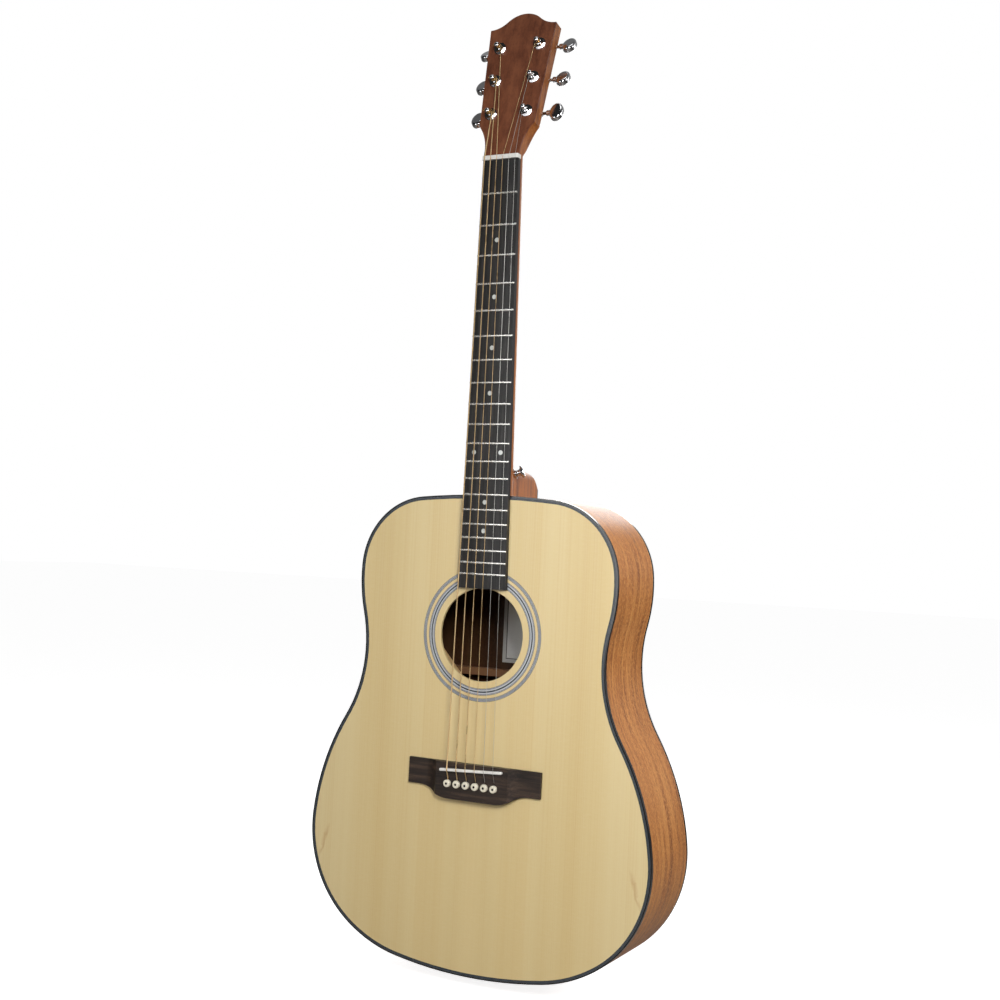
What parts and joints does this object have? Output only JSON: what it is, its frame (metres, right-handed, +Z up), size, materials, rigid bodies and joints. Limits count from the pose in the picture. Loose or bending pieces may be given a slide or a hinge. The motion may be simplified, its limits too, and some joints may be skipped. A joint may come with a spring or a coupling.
{
  "type": "acoustic guitar",
  "caption": "Steel-string acoustic guitar of dreadnought shape with a flat spruce top, a square-shouldered body, a bolted neck and geared tuners that turn.",
  "frame": {"origin": "the hanger seat: on the centre line, in the plane of the soundboard's front face, where the headstock begins to widen above the nut", "axes": "+Z up along the neck from the tail to the headstock, -Y out of the soundboard towards the player's audience, +X to the treble side"},
  "size_m": [0.4094, 0.1176, 1.055],
  "materials": {
    "spruce": "satin lacquer",
    "mahogany_sides": "satin lacquer",
    "mahogany_neck": "satin",
    "head_veneer": "satin",
    "fingerboard_wood": "oiled",
    "bridge_wood": "oiled",
    "inner_wood": "bare",
    "binding_black": "gloss",
    "inlay_dark": "satin",
    "inlay_light": "satin",
    "bone": "polished",
    "pearl": "gloss",
    "black_dots": "gloss",
    "fret_metal": "polished",
    "chrome": "mirror polish",
    "plain_steel": "bright",
    "bronze": "wound wire",
    "bolt_steel": "zinc plated",
    "paper": "matt paper"
  },
  "bodies": {
    "guitar": {"soundboard": "spruce", "inlays_dark": "inlay_dark", "inlays_light": "inlay_light", "top_binding": "binding_black", "back_binding": "binding_black", "back_plate": "mahogany_sides", "bass_side": "mahogany_sides", "treble_side": "mahogany_sides", "tail_graft": "binding_black", "neck_block": "inner_wood", "tail_block": "inner_wood", "linings": "inner_wood", "x_braces": "inner_wood", "top_braces": "inner_wood", "bridge_plate": "bridge_wood", "back_braces": "inner_wood", "label": "paper", "strap_buttons": "chrome", "heel_cap": "binding_black", "neck": "mahogany_neck", "headplate": "head_veneer", "fingerboard": "fingerboard_wood", "frets": "fret_metal", "position_marks": "pearl", "nut": "bone", "saddle": "bone", "bridge": "bridge_wood", "bridge_pins": "bone", "bridge_pin_dots": "black_dots", "truss_rod": "bolt_steel", "neck_bolts": "bolt_steel", "tuner_housings": "chrome", "tuner_bushings": "chrome", "wood_screws": "chrome", "string_low_e": "bronze", "string_a": "bronze", "string_d": "bronze", "string_g": "bronze", "string_b": "plain_steel", "string_high_e": "plain_steel"},
    "post_low_e": {"tuner_post_low_e": "chrome", "string_wraps_low_e": "bronze"},
    "button_low_e": {"tuner_button_low_e": "chrome"},
    "post_a": {"tuner_post_a": "chrome", "string_wraps_a": "bronze"},
    "button_a": {"tuner_button_a": "chrome"},
    "post_d": {"tuner_post_d": "chrome", "string_wraps_d": "bronze"},
    "button_d": {"tuner_button_d": "chrome"},
    "post_g": {"tuner_post_g": "chrome", "string_wraps_g": "bronze"},
    "button_g": {"tuner_button_g": "chrome"},
    "post_b": {"tuner_post_b": "chrome", "string_wraps_b": "plain_steel"},
    "button_b": {"tuner_button_b": "chrome"},
    "post_high_e": {"tuner_post_high_e": "chrome", "string_wraps_high_e": "plain_steel"},
    "button_high_e": {"tuner_button_high_e": "chrome"},
    "rod_nut": {"truss_rod_nut": "bolt_steel"}
  },
  "joints": [
    {"name": "button_low_e_turn", "type": "hinge", "parent": "guitar", "child": "button_low_e", "pos_m": [-0.0216, 0.0277, 0.03196], "axis": [-1, 0, 0], "continuous": true},
    {"name": "post_low_e_turn", "type": "hinge", "parent": "guitar", "child": "post_low_e", "pos_m": [-0.0216, 0.00714, 0.03042], "axis": [0, -0.9711, 0.2385], "continuous": true},
    {"name": "button_a_turn", "type": "hinge", "parent": "guitar", "child": "button_a", "pos_m": [-0.0229, 0.03738, 0.07139], "axis": [-1, 0, 0], "continuous": true},
    {"name": "post_a_turn", "type": "hinge", "parent": "guitar", "child": "post_a", "pos_m": [-0.0229, 0.01682, 0.06985], "axis": [0, -0.9711, 0.2385], "continuous": true},
    {"name": "button_d_turn", "type": "hinge", "parent": "guitar", "child": "button_d", "pos_m": [-0.0242, 0.04707, 0.11081], "axis": [-1, 0, 0], "continuous": true},
    {"name": "post_d_turn", "type": "hinge", "parent": "guitar", "child": "post_d", "pos_m": [-0.0242, 0.02651, 0.10927], "axis": [0, -0.9711, 0.2385], "continuous": true},
    {"name": "button_g_turn", "type": "hinge", "parent": "guitar", "child": "button_g", "pos_m": [0.0242, 0.04707, 0.11081], "axis": [1, 0, 0], "continuous": true},
    {"name": "post_g_turn", "type": "hinge", "parent": "guitar", "child": "post_g", "pos_m": [0.0242, 0.02651, 0.10927], "axis": [0, -0.9711, 0.2385], "continuous": true},
    {"name": "button_b_turn", "type": "hinge", "parent": "guitar", "child": "button_b", "pos_m": [0.0229, 0.03738, 0.07139], "axis": [1, 0, 0], "continuous": true},
    {"name": "post_b_turn", "type": "hinge", "parent": "guitar", "child": "post_b", "pos_m": [0.0229, 0.01682, 0.06985], "axis": [0, -0.9711, 0.2385], "continuous": true},
    {"name": "button_high_e_turn", "type": "hinge", "parent": "guitar", "child": "button_high_e", "pos_m": [0.0216, 0.0277, 0.03196], "axis": [1, 0, 0], "continuous": true},
    {"name": "post_high_e_turn", "type": "hinge", "parent": "guitar", "child": "post_high_e", "pos_m": [0.0216, 0.00714, 0.03042], "axis": [0, -0.9711, 0.2385], "continuous": true},
    {"name": "rod_nut_turn", "type": "hinge", "parent": "guitar", "child": "rod_nut", "pos_m": [0, 0.0074, -0.43046], "axis": [0, 0, 1], "range_deg": [-180, 180]}
  ],
  "couplings": [
    {"joint": "post_low_e_turn", "follows": "button_low_e_turn", "ratio": 0.071429},
    {"joint": "post_a_turn", "follows": "button_a_turn", "ratio": 0.071429},
    {"joint": "post_d_turn", "follows": "button_d_turn", "ratio": 0.071429},
    {"joint": "post_g_turn", "follows": "button_g_turn", "ratio": 0.071429},
    {"joint": "post_b_turn", "follows": "button_b_turn", "ratio": 0.071429},
    {"joint": "post_high_e_turn", "follows": "button_high_e_turn", "ratio": 0.071429}
  ]
}
